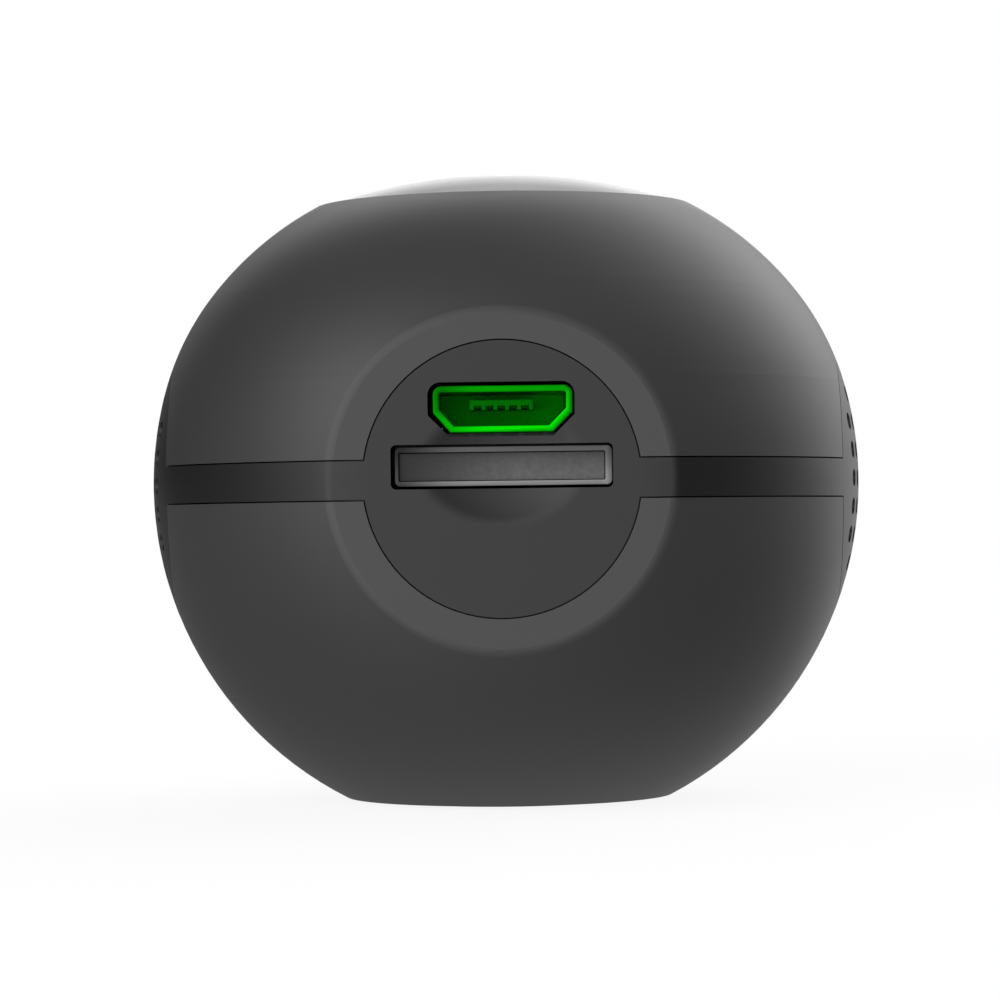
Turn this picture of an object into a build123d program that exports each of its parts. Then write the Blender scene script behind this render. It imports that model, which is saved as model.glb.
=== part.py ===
from build123d import *
import math
import os

# Ball-shaped mini camera, in millimetres, standing on its foot ring with the lens up.
# -Y is the port face. Every piece is drawn about the ball's centre, and the last lines
# lift it all so that the foot ring's underside lies on Z = 0.

# Casing
ball_radius = 21.0
wall = 1.6
belt_height = 2.13
disc_radius = 7.61
face_cut = 2.3
face_rim_softness = 1.0
base_cut = 2.38
top_cut = 4.52
shoulder_start = 15.8
shoulder_end = 37.5
shoulder_shift = 4.9
crown_growth = 3.4
edge_break = 0.12
seam = 0.08
floor_thickness = 1.9
roof_thickness = 2.6
face_wall = 1.3

# Middle frame
lip_gap = 0.1
lip_thickness = 1.0
lip_height = 1.6
port_plate = 1.8
grille_pitch = 1.65
grille_hole_radius = 0.5
grille_rows = 7
grille_plate = 1.8
pocket_radius = 6.0
lug_width = 4.6
lug_height = 2.76
lug_reach = 4.2

# Fits
slip = 0.05
thread_gap = 0.03
screw_clearance = 0.15

# Posts and case screws, at four corners
post_inset = 5.4
post_angle = 40.0
post_radius = 1.9
case_screw_radius = 0.8
case_screw_grip = 4.4
screw_head_height = 0.9
screw_head_ratio = 1.9
recess_width = 0.35
recess_depth = 0.4

# Lens window
dome_border = 0.625
dome_edge_step = 0.06
dome_curve = 32.0
dome_wall = 1.0
dome_seat_depth = 1.3
dome_ledge = 1.35
seal_thickness = 0.2
seal_width = 0.8
baffle_thickness = 0.3
baffle_gap = 0.3
baffle_steps = 3
baffle_step_height = 0.3

# Main board, hung under the micro USB socket and over the card socket
board_top = 2.56
board_thickness = 0.6
board_margin = 0.7
board_front_gap = 0.3

# Image sensor and lens holder
sensor_width = 9.0
sensor_height = 1.1
sensor_frame = 0.6
sensor_glass_step = 0.25
holder_width = 15.0
holder_cavity_width = 10.4
holder_cavity_height = 1.64
holder_roof = 1.0
holder_height = 7.0
holder_tube_radius = 7.3
holder_window_radius = 4.2
holder_ear_distance = 9.4
holder_ear_radius = 1.5
holder_ear_height = 1.8
holder_screw_radius = 0.6
holder_screw_grip = 1.3
filter_width = 9.4
filter_thickness = 0.3

# Lens barrel, bored in three steps from the rear
barrel_focus_gap = 0.3
barrel_thread_radius = 6.0
barrel_head_radius = 7.9
barrel_head_gap = 0.2
barrel_rear_wall = 0.4
barrel_rear_window = 2.9
barrel_top_gap = 0.28
rear_bore_share = 0.445
middle_bore_share = 0.344
lock_ring_width = 0.57

# Lens elements: rim radius, rim thickness as a share of the bore's depth, and curves
front_rim_radius = 6.8
front_rim_share = 0.55
front_curve = 11.0
front_hollow_curve = 5.5
front_hollow_mouth = 4.6
second_rim_radius = 4.6
second_rim_share = 0.44
second_curve = 9.5
second_hollow_curve = 3.6
second_hollow_mouth = 3.0
rear_rim_radius = 3.4
rear_rim_share = 0.1
third_curve = 6.0
fourth_curve = 6.5
aperture_thickness = 0.3
aperture_radius = 1.5
spacer_width = 0.55
spacer_play = 0.06
rear_spacer_share = 0.325

# Micro USB socket
usb_width = 7.66
usb_height = 2.57
usb_wall = 0.37
usb_corner = 0.5
usb_chamfer = 1.08
usb_depth = 5.3
usb_recess = 0.12
usb_cutout_gap = 0.2
usb_back = 1.0
usb_foot_width = 0.8
usb_foot_length = 1.5
usb_foot_thickness = 0.2
tongue_drop = 0.41
tongue_thickness = 0.31
tongue_recess = 0.6
tooth_height = 0.22
tooth_width = 0.22
contact_count = 5
contact_pitch = 0.65
contact_width = 0.34
contact_thickness = 0.12
contact_recess = 0.35
contact_tail = 0.6

# Card socket, tray and card
card_cutout_gap = 0.17
card_side_play = 0.175
card_head_room = 0.5
card_socket_drop = 0.21
card_rim = 0.25
card_corner = 0.3
card_recess = 0.15
card_base_back = 0.6
card_base_thickness = 0.25
card_contact_count = 8
card_contact_pitch = 1.1
card_contact_width = 0.5
card_contact_length = 3.0
card_contact_thickness = 0.1
tray_recess = 0.6
tray_front = 0.9
tray_floor = 0.35
card_width = 11.0
card_length = 15.0
card_thickness = 0.7
card_notch = 0.8
card_notch_length = 5.5
card_ridge = 0.3
card_push = 0.6

# Finger scoop over the card slot
scoop_half_width = 4.35
scoop_half_height = 3.1
scoop_depth = 0.6

# Parts under and on the board
processor_height = 0.9
memory_width = 5.0
memory_height = 0.8
chip_spacing = 0.3
can_margin = 1.0
can_side_gap = 0.46
can_front_gap = 0.35
can_rear_gap = 0.9
can_height = 1.5
can_wall = 0.15
chip_row_count = 6
chip_row_pitch = 1.5
chip_row_gap = 0.6
chip_length = 1.0
chip_width = 0.55
chip_height = 0.5

# Sound: speaker behind the left grille, microphone behind the right one
mesh_thickness = 0.15
speaker_gasket_thickness = 0.3
speaker_gasket_width = 0.9
speaker_depth = 2.75
speaker_cone_radius = 4.3
speaker_dome_radius = 1.4
speaker_cone_depth = 0.6
sound_board_thickness = 0.8
sound_gasket_thickness = 0.9
sound_gasket_inner = 1.4
sound_gasket_outer = 3.0
sound_port_radius = 0.5
sound_chip_length = 3.5
sound_chip_width = 2.65
sound_chip_height = 1.0

# Battery in its cradle
battery_corner = 1.6
battery_gap = 0.15
cradle_wall = 0.9
cradle_end_gap = 1.4
cradle_side_gap = 0.73
cradle_floor = 1.1
cradle_rim_height = 1.4
ear_radius = 2.1
ear_height = 2.0
arm_width = 3.4
pad_width = 12.0
pad_thickness = 2.03
pad_front_gap = 0.5
pad_inset = 0.35
pad_gap = 0.02

# Tripod socket and foot ring
tripod_bore_radius = 2.575
tripod_bore_depth = 4.7
insert_radius = 4.2
insert_length = 5.2
insert_cover = 0.27
insert_flange_radius = 5.2
insert_flange_height = 0.8
insert_mouth_chamfer = 0.35
boss_radius = 6.0
foot_inner_radius = 5.9
foot_outer_radius = 7.4
foot_groove_depth = 0.6
foot_proud = 0.2

# Shutter button and its board, behind the rear disc
button_radius = 3.5
button_gap = 0.08
button_recess = 0.1
button_dish_radius = 14.0
button_dish_depth = 0.25
button_flange_radius = 4.2
button_flange_height = 0.5
button_stem_radius = 1.2
button_stem_length = 0.95
button_travel = 0.3
switch_width = 4.5
switch_height = 0.9
plunger_radius = 1.1
plunger_length = 0.95
button_board_width = 13.8
button_board_bottom = -4.6
button_board_top = 6.4
button_board_thickness = 0.8
button_boss_distance = 5.6
button_boss_radius = 1.3
button_screw_radius = 0.5
button_screw_grip = 1.8
light_height = 5.6
light_radius = 0.7
light_collar_radius = 1.1
light_collar_height = 0.5
light_recess = 0.05
led_width = 1.6
led_height = 0.6
light_gap = 0.15
header_width = 7.0
header_length = 2.0
header_height = 1.8

# Flat flexes
flex_thickness = 0.12
flex_width = 3.0
flex_socket_length = 2.0
flex_socket_width = 4.2
flex_socket_height = 1.0
flex_socket_inset = 0.3
flex_air = 0.03

# Places worked out from the sizes above
face_distance = ball_radius - face_cut
base_drop = ball_radius - base_cut
top_height = ball_radius - top_cut
shoulder_radius = ball_radius - shoulder_shift
crown_radius = shoulder_radius + crown_growth
post_distance = ball_radius - post_inset
board_bottom = board_top - board_thickness
cavity_inset = wall + lip_gap + lip_thickness
cavity_radius = ball_radius - cavity_inset
plate_back = face_distance - port_plate
grille_back = ball_radius - grille_plate
lug_top = board_bottom
lug_bottom = lug_top - lug_height
dome_seat = top_height - dome_seat_depth
dome_rim = dome_seat + baffle_thickness + seal_thickness
barrel_base = board_top + holder_cavity_height + holder_roof + barrel_focus_gap
barrel_top = dome_seat - barrel_top_gap
rear_bore_floor = barrel_base + barrel_rear_wall
rear_bore_depth = rear_bore_share * (barrel_top - rear_bore_floor)
middle_bore_floor = rear_bore_floor + rear_bore_depth
middle_bore_depth = middle_bore_share * (barrel_top - rear_bore_floor)
front_bore_floor = middle_bore_floor + middle_bore_depth
front_rim_thickness = front_rim_share * (barrel_top - front_bore_floor)
second_rim_thickness = second_rim_share * middle_bore_depth
rear_rim_thickness = rear_rim_share * rear_bore_depth
rear_spacer_height = rear_spacer_share * rear_bore_depth
chip_row_offset = holder_width / 2 + chip_row_gap + chip_length / 2
usb_centre = board_top + usb_height / 2
usb_front = -(face_distance - usb_recess)
card_socket_width = card_width + 2 * (card_side_play + card_rim)
card_socket_height = 2 * card_rim + slip + tray_floor + card_thickness + card_head_room
card_top = board_bottom - card_socket_drop
card_centre = card_top - card_socket_height / 2
card_front = -(face_distance - card_recess)
card_bottom = card_top - card_socket_height
card_floor = card_bottom + card_rim
card_opening_width = card_socket_width - 2 * card_rim
card_opening_height = card_socket_height - 2 * card_rim
tray_front_face = -(face_distance - tray_recess)
card_start = tray_front_face + tray_front
card_stop = card_start + slip + card_length + card_push + slip
card_back = card_stop + card_base_back
speaker_front = grille_back - mesh_thickness - speaker_gasket_thickness
speaker_back = speaker_front - speaker_depth
sound_board_front = grille_back - mesh_thickness - sound_gasket_thickness
sound_board_back = sound_board_front - sound_board_thickness
cradle_bottom = insert_length + insert_cover - base_drop
battery_bottom = cradle_bottom + cradle_floor + battery_gap
battery_top = card_bottom - pad_gap - pad_thickness
battery_length = 2 * (post_distance * math.cos(math.radians(post_angle)) - cradle_end_gap - cradle_wall
                      - battery_gap)
battery_width = 2 * (post_distance * math.sin(math.radians(post_angle)) - cradle_side_gap - cradle_wall
                     - battery_gap)
base_inside = floor_thickness - base_drop
button_face = face_distance - button_recess
button_flange_front = plate_back - slip
button_stem_end = button_flange_front - button_flange_height - button_stem_length
button_board_front = button_stem_end - plunger_length - button_travel - slip
button_board_back = button_board_front - button_board_thickness
board_rear_edge = button_board_back - board_margin
flex_socket_distance = speaker_back - board_margin - flex_socket_inset - flex_socket_length / 2
can_front = card_back + card_base_thickness + can_front_gap
can_length = board_rear_edge - flex_socket_length - can_rear_gap - can_front
can_centre = can_front + can_length / 2
can_width = 2 * (holder_ear_distance - holder_screw_radius * screw_head_ratio - can_side_gap)
processor_width = can_width - 2 * can_margin - memory_width - 2 * chip_spacing
chip_area_length = can_length - 2 * can_margin
centre_height = base_drop + foot_proud
huge = 4 * ball_radius


def unit(angle):
    return Vector(math.cos(math.radians(angle)), math.sin(math.radians(angle)))


shoulder_centre = unit(shoulder_start) * (ball_radius - shoulder_radius)
crown_centre = shoulder_centre + unit(shoulder_end) * (shoulder_radius - crown_radius)
top_edge = crown_centre.X + math.sqrt(crown_radius ** 2 - (top_height - crown_centre.Y) ** 2)
dome_radius = top_edge - dome_border
ledge_radius = dome_radius - dome_ledge


def turned(curves):
    """Solid of revolution about Z from curves drawn as (distance from the axis, height)."""
    return revolve(make_face([Plane.XZ * curve for curve in curves]), Axis.Z)


def turned_steps(*corners):
    """Solid of revolution from straight lines through (distance from the axis, height) corners."""
    return turned(Polyline(*corners, close=True).edges())


def ring(inner, outer, low, high):
    return turned_steps((inner, low), (outer, low), (outer, high), (inner, high))


def block(width, depth, low, high, x=0, y=0):
    return Pos(x, y, (low + high) / 2) * Box(width, depth, high - low)


def rod(radius, start, end, axis=Plane.XY):
    """Round bar between two distances along the normal of a plane."""
    return axis * Pos(0, 0, (start + end) / 2) * Cylinder(radius, abs(end - start))


left_to_right = Plane((0, 0, 0), x_dir=(0, 1, 0), z_dir=(1, 0, 0))
front_to_rear = Plane((0, 0, 0), x_dir=(-1, 0, 0), z_dir=(0, 1, 0))
corner_angles = [post_angle, 180 - post_angle, 180 + post_angle, -post_angle]
corners = [Pos(*(unit(angle) * post_distance)) for angle in corner_angles]


def casing_form(inset, bottom, top, half_depth):
    """The casing's outer form moved inwards by inset, cut flat below, above and at both faces."""
    ball = ball_radius - inset
    low = math.degrees(math.asin(bottom / ball))
    crown = crown_radius - inset
    high = math.degrees(math.asin((top - crown_centre.Y) / crown))
    side = CenterArc((0, 0), ball, low, shoulder_start - low)
    shoulder_turn = shoulder_end - shoulder_start
    shoulder = CenterArc(shoulder_centre, shoulder_radius - inset, shoulder_start, shoulder_turn)
    crown_arc = CenterArc(crown_centre, crown, shoulder_end, high - shoulder_end)
    top_line = Line(crown_arc @ 1, (0, top))
    axis_line = Line((0, top), (0, bottom))
    form = turned([side, shoulder, crown_arc, top_line, axis_line, Line((0, bottom), side @ 0)])
    return form & Box(huge, 2 * half_depth, huge)


def belt_zone(grow):
    """The belt and the four discs, as one volume through the whole ball."""
    slab = Box(huge, huge, belt_height + 2 * grow)
    across = rod(disc_radius + grow, -huge, huge, left_to_right)
    along = rod(disc_radius + grow, -huge, huge, front_to_rear)
    return slab + across + along


def casing_skin():
    """Outer form with softened rims round its two flat faces, and the hollow inside it."""
    outer = casing_form(0, -base_drop, top_height, face_distance)
    rims = outer.edges().filter_by(GeomType.CIRCLE)
    face_rims = [edge for edge in rims if abs(abs(edge.center().Y) - face_distance) < edge_break]
    outer = fillet(face_rims, face_rim_softness)
    rims = outer.edges().filter_by(GeomType.CIRCLE)
    end_rims = [edge for edge in rims if abs(edge.center().Y) < edge_break and abs(edge.center().Z) > wall]
    flat_rims = [edge for edge in end_rims if abs(edge.center().Z - top_height) < edge_break]
    flat_rims += [edge for edge in end_rims if abs(edge.center().Z + base_drop) < edge_break]
    outer = fillet(flat_rims, edge_break)
    hollow = casing_form(wall, base_inside, top_height - roof_thickness, face_distance - face_wall)
    return outer, hollow


def upper_shell(outer, hollow):
    """Upper half of the casing, with the lens window's seat and four screw posts."""
    shell = outer - hollow - belt_zone(seam)
    shell = shell & block(huge, huge, 0, huge)
    inside = casing_form(wall / 2, base_inside, top_height - roof_thickness / 2, face_distance)
    for corner in corners:
        shell += (corner * rod(post_radius, board_top, top_height)) & inside
    shell -= rod(dome_radius + slip, dome_seat, huge)
    shell -= rod(ledge_radius, 0, huge)
    for corner in corners:
        shell -= corner * rod(case_screw_radius + thread_gap, 0, board_top + case_screw_grip + slip)
    return shell


def lower_shell(outer, hollow):
    """Lower half of the casing, with the tripod insert's hole and the foot ring's groove."""
    shell = outer - hollow - belt_zone(seam)
    shell = shell & block(huge, huge, -huge, 0)
    shell -= rod(insert_radius + slip, -huge, 0)
    shell -= rod(insert_flange_radius + slip, -huge, -base_drop + insert_flange_height)
    groove_top = -base_drop + foot_groove_depth
    return shell - ring(foot_inner_radius - slip, foot_outer_radius + slip, -huge, groove_top)


def grille_holes(side):
    """Round holes on a square grid without its four corners, through one side disc."""
    last = grille_rows - 1
    holes = []
    for column in range(grille_rows):
        for row in range(grille_rows):
            if column in (0, last) and row in (0, last):
                continue
            y = (column - last / 2) * grille_pitch
            z = (row - last / 2) * grille_pitch
            hole = rod(grille_hole_radius, side * cavity_radius, side * huge, left_to_right)
            holes.append(Pos(0, y, z) * hole)
    return holes


def usb_outline(grow):
    """Front view of the micro USB socket: square above, with round corners, and chamfered below."""
    half = usb_width / 2 + grow
    low = -usb_height / 2 - grow
    high = usb_height / 2 + grow
    slope = usb_chamfer + grow * math.tan(math.radians(22.5))
    outline = make_face(Polyline((-half, high), (half, high), (half, low + slope), (half - slope, low),
                                 (slope - half, low), (-half, low + slope), close=True))
    upper = outline.vertices().group_by(Axis.Y)[-1]
    return fillet(upper, usb_corner + grow)


def usb_prism(grow, front, back):
    """The socket's outline, drawn on the port face and carried inwards."""
    face = Plane((0, front, usb_centre), x_dir=(1, 0, 0), z_dir=(0, -1, 0)) * usb_outline(grow)
    return extrude(face, front - back)


def card_prism(width, height, corner, front, back):
    """A round-cornered slab on the card socket's centre line."""
    outline = RectangleRounded(width, height, corner)
    face = Plane((0, front, card_centre), x_dir=(1, 0, 0), z_dir=(0, -1, 0)) * outline
    return extrude(face, front - back)


def scoop():
    """Shallow finger dish: an arc across the face, turned about an axis in front of the face."""
    across = (scoop_half_width ** 2 + scoop_depth ** 2) / (2 * scoop_depth)
    upright = (scoop_half_height ** 2 + scoop_depth ** 2) / (2 * scoop_depth)
    bottom = -face_distance + scoop_depth
    front = -face_distance - scoop_depth
    edge = math.sqrt(across ** 2 - (across - 2 * scoop_depth) ** 2)
    dish = ThreePointArc((-edge, front), (0, bottom), (edge, front))
    section = make_face([dish, Line((edge, front), (-edge, front))])
    axis = Axis((0, bottom - upright, 0), (1, 0, 0))
    return Pos(0, 0, card_centre) * revolve(section, axis)


def middle_frame(outer):
    """Belt, port disc, rear disc and two grille discs in one moulding, with lips behind the shells."""
    lining_depth = face_distance - face_wall - lip_gap
    lining = casing_form(wall + lip_gap, base_inside, top_height - roof_thickness, lining_depth)
    cavity = casing_form(cavity_inset, base_inside + slip, top_height - roof_thickness - slip, plate_back)
    zone = belt_zone(0)
    disc_lip = (lining_depth - plate_back) + lip_gap
    lips = Box(huge, huge, belt_height + 2 * lip_height)
    lips += rod(disc_radius + disc_lip, -huge, huge, left_to_right)
    lips += rod(disc_radius + disc_lip, -huge, huge, front_to_rear)
    frame = (outer & zone) - cavity + (lining & lips) - cavity
    lug_start = post_distance + post_radius - lug_reach
    for angle, corner in zip(corner_angles, corners):
        reach = ball_radius - lug_start
        lug = Pos(lug_start + reach / 2, 0, (lug_top + lug_bottom) / 2) * Box(reach, lug_width, lug_height)
        frame += (Rot(0, 0, angle) * lug) & lining
        frame -= corner * rod(case_screw_radius + screw_clearance, -huge, huge)
    for side in (-1, 1):
        frame -= rod(pocket_radius, 0, side * grille_back, left_to_right)
        frame -= grille_holes(side)
    for x in (-button_boss_distance, button_boss_distance):
        frame += Pos(x, 0, 0) * rod(button_boss_radius, button_board_front, plate_back + slip, front_to_rear)
        pilot_end = button_board_front + button_screw_grip
        pilot = rod(button_screw_radius + thread_gap, 0, pilot_end, front_to_rear)
        frame -= Pos(x, 0, 0) * pilot
    frame -= rod(button_radius + button_gap, 0, huge, front_to_rear)
    frame -= Pos(0, 0, light_height) * rod(light_radius + slip, 0, huge, front_to_rear)
    frame -= scoop()
    frame -= usb_prism(usb_cutout_gap, -huge, 0)
    cutout_width = card_socket_width + 2 * card_cutout_gap
    cutout_height = card_socket_height + 2 * card_cutout_gap
    return frame - card_prism(cutout_width, cutout_height, card_corner, -huge, 0)


def sag(curve, distance):
    """How far a spherical surface has fallen away at a distance from its axis."""
    return abs(curve) - math.sqrt(curve ** 2 - distance ** 2)


def cap_height(apex, curve, distance):
    """Height of a spherical cap at a distance from the axis; a negative curve opens upwards."""
    return apex - math.copysign(sag(curve, distance), curve)


def cap(apex, curve, start, end):
    middle = (start + end) / 2
    return ThreePointArc(*[(d, cap_height(apex, curve, d)) for d in (start, middle, end)])


def lens_dome():
    """Shallow glossy window that fills the casing's top opening."""
    dome_apex = top_height + dome_edge_step + sag(dome_curve, dome_radius)
    inner_apex = dome_apex - dome_wall
    inner_curve = dome_curve - dome_wall
    rim_height = dome_rim - inner_apex + inner_curve
    inner_rim = math.sqrt(inner_curve ** 2 - rim_height ** 2)
    outside = cap(dome_apex, dome_curve, 0, dome_radius)
    inside = cap(inner_apex, inner_curve, inner_rim, 0)
    return turned([outside, Line(outside @ 1, (dome_radius, dome_rim)),
                   Line((dome_radius, dome_rim), inside @ 0), inside, Line(inside @ 1, outside @ 0)])


def dome_seal():
    low = dome_seat + baffle_thickness
    return ring(dome_radius - seal_width, dome_radius, low, low + seal_thickness)


def lens_baffle():
    """Black ring under the window that closes the gap round the lens barrel, in shallow steps."""
    inner = barrel_head_radius + baffle_gap
    outer = ledge_radius - slip
    step = (outer - inner) / baffle_steps
    top = dome_seat + baffle_thickness
    profile = [(dome_radius, dome_seat), (dome_radius, top)]
    for number in range(baffle_steps):
        edge = inner + (baffle_steps - 1 - number) * step
        profile.append((edge, top - number * baffle_step_height))
        profile.append((edge, top - (number + 1) * baffle_step_height))
    low = top - baffle_steps * baffle_step_height - baffle_thickness
    profile += [(inner, low), (outer, low), (outer, dome_seat)]
    return turned_steps(*profile)


def lens_barrel():
    """Barrel with a thread size outside, a wider head, and three bores inside."""
    head_base = board_top + holder_height + barrel_head_gap
    front_bore = front_rim_radius + slip
    middle_bore = second_rim_radius + slip
    rear_bore = rear_rim_radius + slip
    return turned_steps((barrel_rear_window, barrel_base), (barrel_thread_radius, barrel_base),
                        (barrel_thread_radius, head_base), (barrel_head_radius, head_base),
                        (barrel_head_radius, barrel_top), (front_bore, barrel_top),
                        (front_bore, front_bore_floor), (middle_bore, front_bore_floor),
                        (middle_bore, middle_bore_floor), (rear_bore, middle_bore_floor),
                        (rear_bore, rear_bore_floor), (barrel_rear_window, rear_bore_floor))


def meniscus(seat, rim_radius, rim_thickness, curve, hollow_mouth, hollow_curve):
    """Lens that bulges upwards, hollow below, standing on a flat rim."""
    apex = seat + rim_thickness + sag(curve, rim_radius)
    hollow_apex = seat + sag(hollow_curve, hollow_mouth)
    outside = cap(apex, curve, 0, rim_radius)
    inside = cap(hollow_apex, hollow_curve, hollow_mouth, 0)
    return turned([outside, Line(outside @ 1, (rim_radius, seat)), Line((rim_radius, seat), inside @ 0),
                   inside, Line(inside @ 1, outside @ 0)])


def flat_backed_lens(flat, curve):
    """Lens with one flat side at a height, and a curve that bulges away from it."""
    rim = flat + math.copysign(rear_rim_thickness, curve)
    bulge = cap(rim + math.copysign(sag(curve, rear_rim_radius), curve), curve, 0, rear_rim_radius)
    return turned([bulge, Line(bulge @ 1, (rear_rim_radius, flat)), Line((rear_rim_radius, flat), (0, flat)),
                   Line((0, flat), bulge @ 0)])


def lens_stack():
    """Everything inside the barrel, from the rear spacer to the lock ring."""
    rear_inner = rear_rim_radius - spacer_width
    rear_spacer_top = rear_bore_floor + rear_spacer_height
    rear_spacer = ring(rear_inner, rear_rim_radius, rear_bore_floor, rear_spacer_top)
    rear_bulge = sag(fourth_curve, rear_rim_radius) - sag(fourth_curve, rear_inner)
    stop = rear_spacer_top + spacer_play + rear_bulge + rear_rim_thickness
    front_inner = second_rim_radius - spacer_width
    front_bulge = sag(second_curve, second_rim_radius) - sag(second_curve, front_inner)
    front_spacer_floor = middle_bore_floor + second_rim_thickness + front_bulge + spacer_play
    front_spacer = ring(front_inner, second_rim_radius, front_spacer_floor, front_bore_floor)
    lock_inner = front_rim_radius - lock_ring_width
    lock_bulge = sag(front_curve, front_rim_radius) - sag(front_curve, lock_inner)
    lock_floor = front_bore_floor + front_rim_thickness + lock_bulge + spacer_play
    lock_ring = ring(lock_inner, front_rim_radius, lock_floor, barrel_top)
    return {
        "rear_spacer": rear_spacer,
        "fourth_element": flat_backed_lens(stop, -fourth_curve),
        "aperture_ring": ring(aperture_radius, rear_rim_radius, stop, stop + aperture_thickness),
        "third_element": flat_backed_lens(stop + aperture_thickness, third_curve),
        "second_element": meniscus(middle_bore_floor, second_rim_radius, second_rim_thickness, second_curve,
                                   second_hollow_mouth, second_hollow_curve),
        "front_spacer": front_spacer,
        "front_element": meniscus(front_bore_floor, front_rim_radius, front_rim_thickness, front_curve,
                                  front_hollow_mouth, front_hollow_curve),
        "lens_lock_ring": lock_ring,
    }


def lens_holder():
    """Square foot over the image sensor, with a threaded tube for the barrel and two screw ears."""
    roof = board_top + holder_cavity_height
    holder = block(holder_width, holder_width, board_top, roof + holder_roof)
    holder += rod(holder_tube_radius, board_top, board_top + holder_height)
    for x in (-holder_ear_distance, holder_ear_distance):
        holder += Pos(x, 0, 0) * rod(holder_ear_radius, board_top, board_top + holder_ear_height)
        ear_width = 2 * holder_ear_radius
        holder += block(ear_width, ear_width, board_top, board_top + holder_ear_height,
                        x=math.copysign(holder_ear_distance - holder_ear_radius, x))
    holder -= block(holder_cavity_width, holder_cavity_width, board_top, roof)
    holder -= rod(barrel_thread_radius + slip, roof + holder_roof, huge)
    holder -= rod(holder_window_radius, board_top, huge)
    for x in (-holder_ear_distance, holder_ear_distance):
        pilot_top = board_top + holder_screw_grip + slip
        holder -= Pos(x, 0, 0) * rod(holder_screw_radius + thread_gap, 0, pilot_top)
    return holder


def infrared_filter():
    roof = board_top + holder_cavity_height
    return block(filter_width, filter_width, roof - filter_thickness, roof)


def image_sensor():
    top = board_top + sensor_height
    package = block(sensor_width, sensor_width, board_top, top - sensor_glass_step)
    glass = sensor_width - 2 * sensor_frame
    return package + block(glass, glass, top - sensor_glass_step, top)


def main_board():
    front = -(plate_back - board_front_gap)
    side = speaker_back - board_margin
    outline = Cylinder(cavity_radius - board_margin, board_thickness)
    depth = board_rear_edge - front
    board = outline & (Pos(0, front + depth / 2, 0) * Box(2 * side, depth, board_thickness))
    board = Pos(0, 0, board_bottom + board_thickness / 2) * board
    for corner in corners:
        board -= corner * rod(case_screw_radius + screw_clearance, -huge, huge)
    for x in (-holder_ear_distance, holder_ear_distance):
        board -= Pos(x, 0, 0) * rod(holder_screw_radius + screw_clearance, -huge, huge)
    return board


def board_parts():
    """Two rows of small parts beside the lens holder, on the board's top."""
    parts = []
    for side in (-1, 1):
        for number in range(chip_row_count):
            x = (number - (chip_row_count - 1) / 2) * chip_row_pitch
            parts.append(block(chip_width, chip_length, board_top, board_top + chip_height,
                               x=x, y=side * chip_row_offset))
    return Compound(parts)


def usb_shell():
    shell = usb_prism(0, usb_front, usb_front + usb_depth)
    shell -= usb_prism(-usb_wall, usb_front - usb_recess, usb_front + usb_depth + usb_recess)
    foot_y = usb_front + usb_depth - usb_foot_length / 2
    wing_width = usb_foot_width + usb_wall / 2
    wing_low = board_top + usb_chamfer
    wing_high = wing_low + usb_foot_thickness
    for side in (-1, 1):
        wing_x = side * (usb_width / 2 + usb_foot_width - wing_width / 2)
        shell += block(wing_width, usb_foot_length, wing_low, wing_high, x=wing_x, y=foot_y)
        leg_x = side * (usb_width / 2 + usb_foot_width - usb_foot_thickness / 2)
        shell += block(usb_foot_thickness, usb_foot_length, board_top, wing_high, x=leg_x, y=foot_y)
    return shell


def usb_insulator():
    """Back wall of the socket, with the toothed tongue that carries the contacts."""
    back = usb_front + usb_depth
    body = usb_prism(-usb_wall - slip / 2, back - usb_back, back)
    tongue_top = usb_centre + usb_height / 2 - usb_wall - tongue_drop
    half = contact_count * contact_pitch / 2 + tooth_width / 2
    length = back - usb_front - tongue_recess
    y = back - length / 2
    body += block(2 * half, length, tongue_top - tongue_thickness, tongue_top, y=y)
    tooth_low = tongue_top - tongue_thickness - tooth_height
    for number in range(contact_count + 1):
        x = (number - contact_count / 2) * contact_pitch
        body += block(tooth_width, length, tooth_low, tongue_top, x=x, y=y)
    for x in contact_places():
        body -= usb_contact(x, slip / 2)
    return body


def contact_places():
    return [(number - (contact_count - 1) / 2) * contact_pitch for number in range(contact_count)]


def usb_contact(x, grow):
    """One contact blade under the tongue, running out of the back to the board."""
    top = usb_centre + usb_height / 2 - usb_wall - tongue_drop - tongue_thickness
    front = usb_front + tongue_recess + contact_recess - grow
    back = usb_front + usb_depth + contact_tail
    width = contact_width + 2 * grow
    blade = block(width, back - front, top - contact_thickness - grow, top + grow, x=x, y=(front + back) / 2)
    tail = block(width, contact_thickness + 2 * grow, board_top, top, x=x, y=back - contact_thickness / 2)
    return blade + tail


def card_socket_cover():
    """Stamped sleeve whose rim shows round the tray's end."""
    sleeve = card_prism(card_socket_width, card_socket_height, card_corner, card_front, card_back)
    opening = card_prism(card_opening_width, card_opening_height, card_corner / 3,
                         card_front - card_recess, card_back + card_recess)
    return sleeve - opening


def card_socket_base():
    """Insulator over and behind the card: it fills the space up to the board."""
    width = card_opening_width - 2 * slip
    back_wall = block(width, card_base_back, card_floor + slip, card_top - card_rim - slip,
                      y=card_back - card_base_back / 2)
    lining_front = -(plate_back - board_front_gap)
    length = card_back - lining_front
    lining = block(card_socket_width, length, card_top, board_bottom, y=lining_front + length / 2)
    lip = block(width, card_base_thickness, card_floor + slip, board_bottom,
                y=card_back + card_base_thickness / 2)
    return back_wall + lining + lip


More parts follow.
